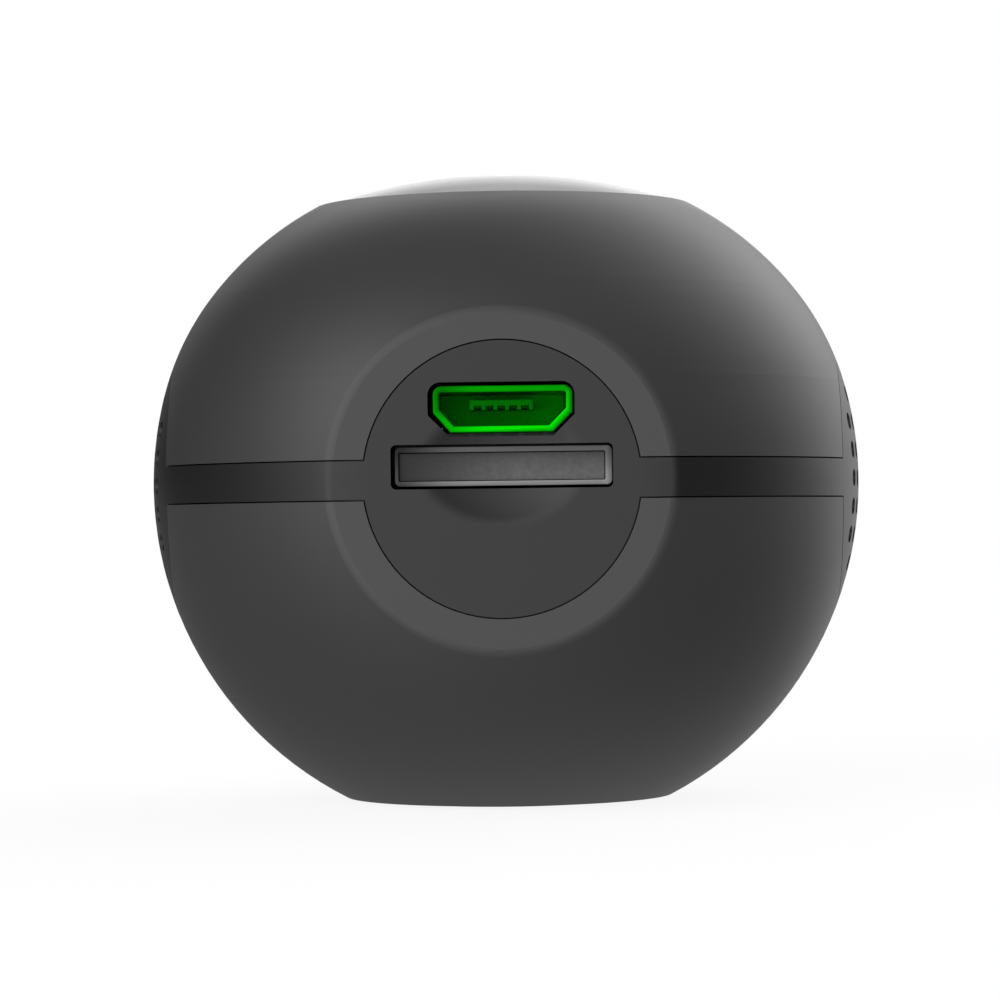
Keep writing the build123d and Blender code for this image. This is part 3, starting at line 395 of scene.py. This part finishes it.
def soften(form, width, sharper_than=30.0, keep=None):
    """Rounds the sharp edges of a form, as plating and tumbling leave them."""
    edges = [edge for edge in form.edges if len(edge.link_faces) == 2
             and edge.calc_face_angle(0.0) > math.radians(sharper_than)
             and (keep is None or keep(edge))]
    bmesh.ops.bevel(form, geom=edges, offset=width * mm, offset_type="OFFSET", segments=2,
                    profile=0.5, affect="EDGES", material=-1, clamp_overlap=True)


def painted_shade_ramp(material, side, start, end, shade_colour):
    """Painted shade: multiplies a finish by a darker colour up to start, and by white from end, in
    millimetres.
    """
    tree = material.node_tree
    shader = tree.nodes["Principled BSDF"]
    sides = add(tree, "SeparateXYZ", {"Vector": add(tree, "TexCoord").outputs["Object"]})
    shade_ramp = add(tree, "MapRange", {"Value": sides.outputs[side], "From Min": start * mm,
                                    "From Max": end * mm}, interpolation_type="SMOOTHSTEP")
    streaked = shader.inputs["Base Color"].links[0].from_socket
    shade = add(tree, "Mix", {"Factor": shade_ramp.outputs["Result"], "A": linear(shade_colour),
                              "B": linear("#ffffff")}, data_type="RGBA")
    shaded = add(tree, "Mix", {"Factor": 1.0, "A": streaked, "B": shade.outputs["Result"]},
               data_type="RGBA", blend_type="MULTIPLY")
    tree.links.new(shaded.outputs["Result"], shader.inputs["Base Color"])
    return material


# USB socket: a shell folded from thin steel strip and finished in bright green, its edges rounded
# by the press and its mouth a little out of square. Its green has painted light and shade: paler at
# the bottom, darker at the top and towards the left. It stands round a darker green insulator,
# painted paler towards the back of the socket, that carries five recessed contacts, painted near
# black for shade.
usb_bottom = 21.38
usb_top = 23.95
green_shell, tree, shader, place = new_finish("green_satin_steel", {"Metallic": 1.0})
lacquer = add(tree, "TexNoise", {"Vector": place, "Scale": 1 / (0.4 * mm), "Detail": 3.0})
sides = add(tree, "SeparateXYZ", {"Vector": place})
# Painted light and shade: the green is paler at the bottom of the shell and darker at its top.
painted_light_height = add(tree, "MapRange", {"Value": sides.outputs["Z"], "From Min": usb_bottom * mm,
                               "From Max": usb_top * mm, "To Min": 1.0, "To Max": 0.0})
paint(tree, shader, painted_light_height.outputs["Result"], "#049202", "#06d204")
dull(tree, shader, lacquer.outputs["Fac"], 0.25, 0.35)
raise_up(tree, shader, lacquer.outputs["Fac"], 0.003)
mouth_depth = 0.35
mouth_slack = 0.05
mouth_ends = 2.0
mouth_corner = 22.0
mouth_shift = {"right": 0.09, "upper left": 0.08, "lower left": -0.05}
shell_softness = 0.05
form = copied("usb_shell")
low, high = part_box("usb_shell")
bmesh.ops.bisect_plane(form, geom=form.verts[:] + form.edges[:] + form.faces[:], dist=same_place,
                       plane_co=(0, low[1] + mouth_depth * mm, 0), plane_no=(0, 1, 0))
for vert in form.verts:
    if vert.co.y < low[1] + mouth_slack * mm and abs(vert.co.x) > mouth_ends * mm:
        left = "upper left" if vert.co.z > mouth_corner * mm else "lower left"
        vert.co.x += mouth_shift["right" if vert.co.x > 0 else left] * mm
soften(form, shell_softness)
# Painted shade: the shell darkens towards its left end.
green_shell = painted_shade_ramp(green_shell, "X", -4.2, -0.8, "#a6a6a6")
finished_piece("usb_socket_shell", form, green_shell, "usb_shell", "casing")
tongue_front = -17.9
tongue_back = -16.5
green_nylon, tree, shader, place = new_finish("green_nylon", {"Specular IOR Level": 0.02})
# Painted light: the insulator grows paler from the tongue's front towards the back of the socket.
sides = add(tree, "SeparateXYZ", {"Vector": place})
depth = add(tree, "MapRange", {"Value": sides.outputs["Y"], "From Min": tongue_front * mm,
                               "From Max": tongue_back * mm})
paint(tree, shader, depth.outputs["Result"], "#007c00", "#00be00")
grains = add(tree, "TexNoise", {"Vector": place, "Scale": 1 / (0.1 * mm), "Detail": 2.0})
dull(tree, shader, grains.outputs["Fac"], 0.4, 0.5)
raise_up(tree, shader, grains.outputs["Fac"], 0.004)
put_on(green_nylon, "usb_insulator")
# Painted shade: the contacts are dark green, near black, as the shade between the tongue's teeth.
put_on(turned("dark_green_bronze_painted_shade", "#003a00", "#004a00", 1.0, 0.4, 0.1, 0.001), "usb_contacts")


def brushed(name, dark, light, metallic, roughness, along, streak=0.04, depth=0.002):
    """Rolled or brushed metal: fine streaks that run one way."""
    material, tree, shader, place = new_finish(name, {"Metallic": metallic})
    stretch = [1 / (40 * streak * mm) if side else 1 / (streak * mm) for side in along]
    drawn = add(tree, "Mapping", {"Vector": place, "Scale": stretch})
    streaks = add(tree, "TexNoise", {"Vector": drawn.outputs["Vector"], "Scale": 1.0, "Detail": 2.0})
    paint(tree, shader, streaks.outputs["Fac"], dark, light)
    dull(tree, shader, streaks.outputs["Fac"], roughness - 0.08, roughness + 0.08)
    raise_up(tree, shader, streaks.outputs["Fac"], depth)
    return material


# Card socket: a sleeve stamped from steel, its mouth coined round, over a black moulded base with
# eight sprung contacts. In it slides the tray, whose grey enamelled end closes the slot, with the
# memory card on it. Painted shade darkens the sleeve and the tray to the left and along the top,
# and a painted highlight brightens the sleeve's right end, as in the photograph.
sleeve_front = -18.55
rim_depth = 0.35
rim_slack = 0.05
rim_half = 0.12  # half the sleeve's wall: what lies farther out belongs to its outside
rim_corner = 0.3
rim_growth = {"left": -0.06, "right": 0.13, "top": 0.04, "bottom": 0.02}
rim_softness = 0.04
form = copied("card_socket_cover")
bmesh.ops.bisect_plane(form, geom=form.verts[:] + form.edges[:] + form.faces[:], dist=same_place,
                       plane_co=(0, (sleeve_front + rim_depth) * mm, 0), plane_no=(0, 1, 0))
low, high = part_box("card_socket_cover")
middle = (low[2] + high[2]) / 2
wide = high[0] - rim_half * mm
tall = (high[2] - low[2]) / 2 - rim_half * mm
for vert in form.verts:
    across, up = vert.co.x, vert.co.z - middle
    in_mouth = vert.co.y < (sleeve_front + rim_slack) * mm
    if in_mouth and (abs(across) > wide or abs(up) > tall):
        if abs(across) > wide - rim_corner * mm:
            vert.co.x += (rim_growth["right"] if across > 0 else -rim_growth["left"]) * mm
        if abs(up) > tall - rim_corner * mm:
            vert.co.z += (rim_growth["top"] if up > 0 else -rim_growth["bottom"]) * mm
soften(form, rim_softness, keep=lambda edge: all(
    abs(vert.co.x) > wide or abs(vert.co.z - middle) > tall for vert in edge.verts))
sleeve_steel = brushed("dark_nickel_plated_steel", "#888889", "#9f9fa0", 1.0, 0.34, (1, 0, 0))
# Painted shade: the sleeve darkens to the left and along the top, with a painted highlight at its right
# end.
sleeve_steel = painted_shade_ramp(sleeve_steel, "X", -6.6, -1.5, "#676767")
sleeve_steel = painted_shade_ramp(sleeve_steel, "X", 5.4, 5.8, "#efefef")
sleeve_steel = painted_shade_ramp(sleeve_steel, "Z", 20.5, 18.6, "#a9a9a9")
finished_piece("card_socket_sleeve", form, sleeve_steel, "card_socket_cover", "casing")
tray_steel = moulded("grey_enamelled_steel", "#505051", "#7a7a7b", 0.42, 0.12, 0.006, 0.3, 0.05)
# Painted shade: the tray darkens to the left and along the top.
tray_steel = painted_shade_ramp(tray_steel, "Z", 20.2, 18.8, "#cccccc")
tray_steel = painted_shade_ramp(tray_steel, "X", -5.6, -4.2, "#c0c0c0")
put_on(painted_shade_ramp(tray_steel, "X", -5.6, 1.5, "#545454"), "card_tray")
put_on(moulded("black_liquid_crystal_polymer", "#101011", "#161617", 0.5, 0.08, 0.006),
       "card_socket_base", "switch_plunger")
put_on(brushed("gold_plated_bronze", "#c79d48", "#dab766", 1.0, 0.28, (0, 1, 0)), "card_contacts")
put_on(moulded("memory_card_plastic", "#141416", "#1a1a1c", 0.45, 0.08, 0.006), "memory_card")

# Chips: the processor and its memory, moulded in black epoxy that is ground fine, in a can folded
# from tinned steel. The microphone and the switch have caps of the same steel.
put_on(moulded("ground_epoxy_moulding", "#18181a", "#222224", 0.55, 0.05, 0.006),
       "processor", "memory_chip")
tinned_steel = brushed("tinned_steel", "#a9abac", "#c2c4c5", 1.0, 0.32, (1, 0, 0))
put_on(tinned_steel, "shield_can", "microphone", "tact_switch")

# Sockets for the flexes and the header between the boards: ivory nylon, moulded.
put_on(moulded("ivory_nylon", "#d8d2bf", "#e2ddcc", 0.5, 0.08, 0.006), "flex_sockets", "board_header")

# Dust meshes: black woven polyester, stuck behind the grille holes. The real thread is finer than
# the render can show, so it is drawn at 0.2 mm.
weave_pitch = 0.2
woven, tree, shader, place = new_finish("woven_polyester", {"Roughness": 0.7, "Sheen Weight": 0.2})
waves = add(tree, "VectorMath", {0: place, "Scale": 2 * math.pi / (weave_pitch * mm)},
            operation="SCALE")
waves = add(tree, "VectorMath", {0: waves.outputs["Vector"]}, operation="SINE")
sides = add(tree, "SeparateXYZ", {"Vector": waves.outputs["Vector"]})
crossing = add(tree, "Math", {0: sides.outputs["Y"], 1: sides.outputs["Z"]}, operation="MULTIPLY")
crossing = add(tree, "MapRange", {"Value": crossing.outputs["Value"], "From Min": -1.0})
paint(tree, shader, crossing.outputs["Result"], "#050505", "#1c1c1d")
raise_up(tree, shader, crossing.outputs["Result"], 0.05)
put_on(woven, "left_mesh", "right_mesh")

# Speaker: a black moulded basket with a pressed paper cone, at the left grille.
speaker_finish, tree, shader, place = new_finish("basket_and_paper_cone", {})
cone_edge = 4.3 * mm
radius = distance_from(tree, place, ball_centre, (0, 1, 1))
outside = add(tree, "Math", {0: radius, 1: cone_edge}, operation="GREATER_THAN")
paint(tree, shader, outside.outputs["Value"], "#2b2925", "#111112")
dull(tree, shader, outside.outputs["Value"], 0.85, 0.4)
fibres = add(tree, "TexNoise", {"Vector": place, "Scale": 1 / (0.1 * mm), "Detail": 3.0})
raise_up(tree, shader, fibres.outputs["Fac"], 0.01)
put_on(speaker_finish, "speaker")

# Rubber: the microphone's gasket, and the foot ring pressed into its groove in the underside.
put_on(moulded("black_silicone_rubber", "#161616", "#1d1d1d", 0.7, 0.15, 0.01),
       "microphone_gasket", "foot_ring")

# Battery: a lithium pouch of laminated aluminium foil, drawn smooth with faint wrinkles, in a
# cradle moulded in black.
foil, tree, shader, place = new_finish("laminated_aluminium_foil", {"Metallic": 1.0})
wrinkles = add(tree, "TexNoise", {"Vector": place, "Scale": 1 / (3.5 * mm), "Detail": 3.0,
                                  "Distortion": 1.2})
paint(tree, shader, wrinkles.outputs["Fac"], "#a4a8ab", "#bfc2c4")
dull(tree, shader, wrinkles.outputs["Fac"], 0.25, 0.4)
raise_up(tree, shader, wrinkles.outputs["Fac"], 0.12)
put_on(foil, "battery")
put_on(moulded("black_moulded_abs", "#121213", "#19191a", 0.5, 0.1, 0.006), "battery_cradle")


track_pitch = 0.5


def tracked_film(name, side):
    """Flex: amber polyimide film with copper tracks that run lengthwise, side by side."""
    material, tree, shader, place = new_finish(name, {"Coat Weight": 0.4, "Coat Roughness": 0.15})
    sides = add(tree, "SeparateXYZ", {"Vector": place})
    turns = add(tree, "Math", {0: sides.outputs[side], 1: 2 * math.pi / (track_pitch * mm)},
                operation="MULTIPLY")
    track = add(tree, "Math", {0: turns.outputs["Value"]}, operation="SINE")
    track = add(tree, "Math", {0: track.outputs["Value"], 1: 0.0}, operation="GREATER_THAN")
    paint(tree, shader, track.outputs["Value"], "#7a3f10", "#b4641f")
    dull(tree, shader, track.outputs["Value"], 0.35, 0.28)
    raise_up(tree, shader, track.outputs["Value"], 0.01)
    return material


# Flexes: from the battery, the speaker and the microphone to their sockets on the main board.
put_on(tracked_film("polyimide_film_front_to_rear", "X"), "battery_flex")
put_on(tracked_film("polyimide_film_side_to_side", "Y"), "speaker_flex", "microphone_flex")

# Status light: a white moulded lamp with a yellow phosphor, behind a frosted acrylic light pipe.
lamp_centre = (0.0, 0.0, 24.42 * mm)
phosphor_edge = 0.45 * mm
lamp_body, tree, shader, place = new_finish("white_lamp_and_phosphor", {})
radius = distance_from(tree, place, lamp_centre, (1, 0, 1))
outside = add(tree, "Math", {0: radius, 1: phosphor_edge}, operation="GREATER_THAN")
paint(tree, shader, outside.outputs["Value"], "#e3cf5e", "#e8e6de")
dull(tree, shader, outside.outputs["Value"], 0.6, 0.35)
put_on(lamp_body, "status_led")
frosted, tree, shader, place = new_finish("frosted_acrylic", {
    "Base Color": linear("#eef1f0"), "IOR": 1.49, "Transmission Weight": 0.85})
frost = add(tree, "TexNoise", {"Vector": place, "Scale": 1 / (0.06 * mm), "Detail": 2.0})
dull(tree, shader, frost.outputs["Fac"], 0.35, 0.55)
raise_up(tree, shader, frost.outputs["Fac"], 0.004)
put_on(frosted, "light_pipe")

# Tripod insert: a brass bush, turned and pressed in, with the 1/4 inch thread of 20 turns to the
# inch cut in its bore.
thread_pitch = 1.27
thread_crest = 2.575
thread_root = 3.175
thread_foot = 0.03  # how far the ridge reaches into the bush's wall
thread_width = 0.875  # a share of the pitch, as the next two are
thread_flat_start = 0.285
thread_flat_end = 0.59
thread_start = 0.6
thread_turns = 2.4
thread_steps = 120
bore_share = 0.98
bore_lead = 0.37
brass = turned("turned_brass", "#b08d4a", "#c6a45e", 1.0, 0.28, 0.12, 0.003)
form = copied("tripod_insert")
bore = [vert for vert in form.verts
        if thread_crest * mm * bore_share < vert.co.xy.length < (thread_crest + bore_lead) * mm]
for vert in bore:
    wider = vert.co.xy.length + (thread_root - thread_crest) * mm
    vert.co.xy = vert.co.xy.normalized() * wider
ridge = bmesh.new()
section = [(thread_root + thread_foot, 0.0),
           (thread_root + thread_foot, thread_pitch * thread_width),
           (thread_crest, thread_pitch * thread_flat_end),
           (thread_crest, thread_pitch * thread_flat_start)]
corners = [ridge.verts.new((reach * mm, 0.0, (thread_start + height) * mm))
           for reach, height in section]
end = ridge.faces.new(corners)
thread_rise = thread_pitch * thread_turns / thread_steps
bmesh.ops.spin(ridge, geom=[end], cent=(0, 0, 0), axis=(0, 0, 1), dvec=(0, 0, thread_rise * mm),
               angle=2 * math.pi * thread_turns, steps=thread_steps, use_merge=False,
               use_duplicate=False)
bmesh.ops.recalc_face_normals(ridge, faces=ridge.faces)
thread_mesh = bpy.data.meshes.new("thread")
ridge.to_mesh(thread_mesh)
ridge.free()
form.from_mesh(thread_mesh)
bpy.data.meshes.remove(thread_mesh)
finished_piece("tripod_bush", form, brass, "tripod_insert", "casing", smooth=30.0)

# Screws: hardened steel, zinc plated, with a cross recess.
put_on(turned("zinc_plated_steel", "#8f9193", "#a7a9ab", 1.0, 0.35, 0.1, 0.002),
       "case_screws", "holder_screws", "button_board_screws")

# Studio: large soft lights before the object on its left and behind it on its right, and others
# above, behind and low. Elsewhere the room is dim. The camera sees plain white, and what mirrors
# the room sees a bright sheet of the backdrop straight behind the object.
soft_lights = (  # degrees from the camera's side towards +X, degrees up, tightness, strength
    (336.5, 7.9, 4.56, 1.68), (306.0, 25.7, 10.06, 1.01), (133.5, 32.0, 5.47, 1.79),
    (186.0, 42.9, 27.7, 1.28), (203.0, 22.0, 30.0, 0.18), (180.0, 24.5, 150.0, 0.33),
    (160.3, -65.7, 4.21, 0.38))
below_light = 0.09
backdrop_light = 0.85
# The backdrop's sheet, in parts of a direction one long: where it starts, and where it is full.
sheet_sides = (0.16, 0.10)
sheet_behind = (0.0, 0.1)
sheet_foot = (-0.14, -0.10)
sheet_head = (0.46, 0.29)
world = bpy.data.worlds.new("studio")
bpy.context.scene.world = world
world.use_nodes = True
sky = world.node_tree
sky.nodes.clear()
towards = add(sky, "TexCoord").outputs["Generated"]
sides = add(sky, "SeparateXYZ", {"Vector": towards})
level = add(sky, "Math", {0: sides.outputs["Z"], 1: 0.0}, operation="LESS_THAN")
level = add(sky, "Math", {0: level.outputs["Value"], 1: below_light}, operation="MULTIPLY")
for turn, rise, tightness, strength in soft_lights:
    turn, rise = math.radians(turn), math.radians(rise)
    centre = (math.sin(turn) * math.cos(rise), -math.cos(turn) * math.cos(rise), math.sin(rise))
    facing = add(sky, "VectorMath", {0: towards, 1: centre}, operation="DOT_PRODUCT")
    fall = add(sky, "Math", {0: facing.outputs["Value"], 1: tightness, 2: -tightness},
               operation="MULTIPLY_ADD")
    glow = add(sky, "Math", {0: fall.outputs["Value"]}, operation="EXPONENT")
    level = add(sky, "Math", {0: glow.outputs["Value"], 1: strength, 2: level.outputs["Value"]},
                operation="MULTIPLY_ADD")
rays = add(sky, "LightPath")
across = add(sky, "Math", {0: sides.outputs["X"]}, operation="ABSOLUTE")
mirrored = rays.outputs["Is Glossy Ray"]
for part, (nothing, full) in ((across.outputs["Value"], sheet_sides),
                              (sides.outputs["Y"], sheet_behind),
                              (sides.outputs["Z"], sheet_foot), (sides.outputs["Z"], sheet_head)):
    within = add(sky, "MapRange", {"Value": part, "From Min": nothing, "From Max": full})
    mirrored = add(sky, "Math", {0: mirrored, 1: within.outputs["Result"]},
                   operation="MULTIPLY").outputs["Value"]
level = add(sky, "Math", {0: mirrored, 1: backdrop_light, 2: level.outputs["Value"]},
            operation="MULTIPLY_ADD")
seen = add(sky, "Math", {0: rays.outputs["Is Camera Ray"], 1: rays.outputs["Is Transmission Ray"]},
           operation="ADD", use_clamp=True)
room = add(sky, "Background", {"Color": linear("#ffffff"), "Strength": level.outputs["Value"]})
white = add(sky, "Background", {"Color": linear("#ffffff"), "Strength": 1.0})
mixed = add(sky, "MixShader", {0: seen.outputs["Value"], 1: room.outputs["Background"],
                               2: white.outputs["Background"]})
add(sky, "OutputWorld", {"Surface": mixed.outputs["Shader"]})

# Floor: a wide sheet of white paper, which keeps the object's soft shadow. It neither lights the
# object nor shows in what the object mirrors, because the dim light from below stands for it
# there. It lies a hair under the foot ring, so that the two faces don't coincide.
floor_reach = 3000.0
floor_drop = 0.02
floor_glow = 1.12
glow_share = 0.8
form = bmesh.new()
bmesh.ops.create_grid(form, x_segments=1, y_segments=1, size=floor_reach * mm)
floor_mesh = bpy.data.meshes.new("floor")
form.to_mesh(floor_mesh)
form.free()
floor = bpy.data.objects.new("floor", floor_mesh)
floor.location.z = -floor_drop * mm
floor.visible_glossy = False
floor.visible_diffuse = False
floor.visible_shadow = False
bpy.context.scene.collection.objects.link(floor)
paper = bpy.data.materials.new("white_paper")
paper.use_nodes = True
tree = paper.node_tree
tree.nodes.clear()
rays = add(tree, "LightPath")
seen = add(tree, "Math", {0: rays.outputs["Is Camera Ray"], 1: rays.outputs["Is Transmission Ray"]},
           operation="ADD", use_clamp=True)
share = add(tree, "Math", {0: seen.outputs["Value"], 1: glow_share}, operation="MULTIPLY")
lit = add(tree, "BsdfDiffuse", {"Color": linear("#f0f0f0")})
glow = add(tree, "Emission", {"Color": linear("#ffffff"), "Strength": floor_glow})
top = add(tree, "MixShader", {0: share.outputs["Value"], 1: lit.outputs["BSDF"],
                              2: glow.outputs["Emission"]})
under = add(tree, "BsdfTransparent")
side = add(tree, "NewGeometry")
both = add(tree, "MixShader", {0: side.outputs["Backfacing"], 1: top.outputs["Shader"],
                               2: under.outputs["BSDF"]})
add(tree, "OutputMaterial", {"Surface": both.outputs["Shader"]})
floor_mesh.materials.append(paper)
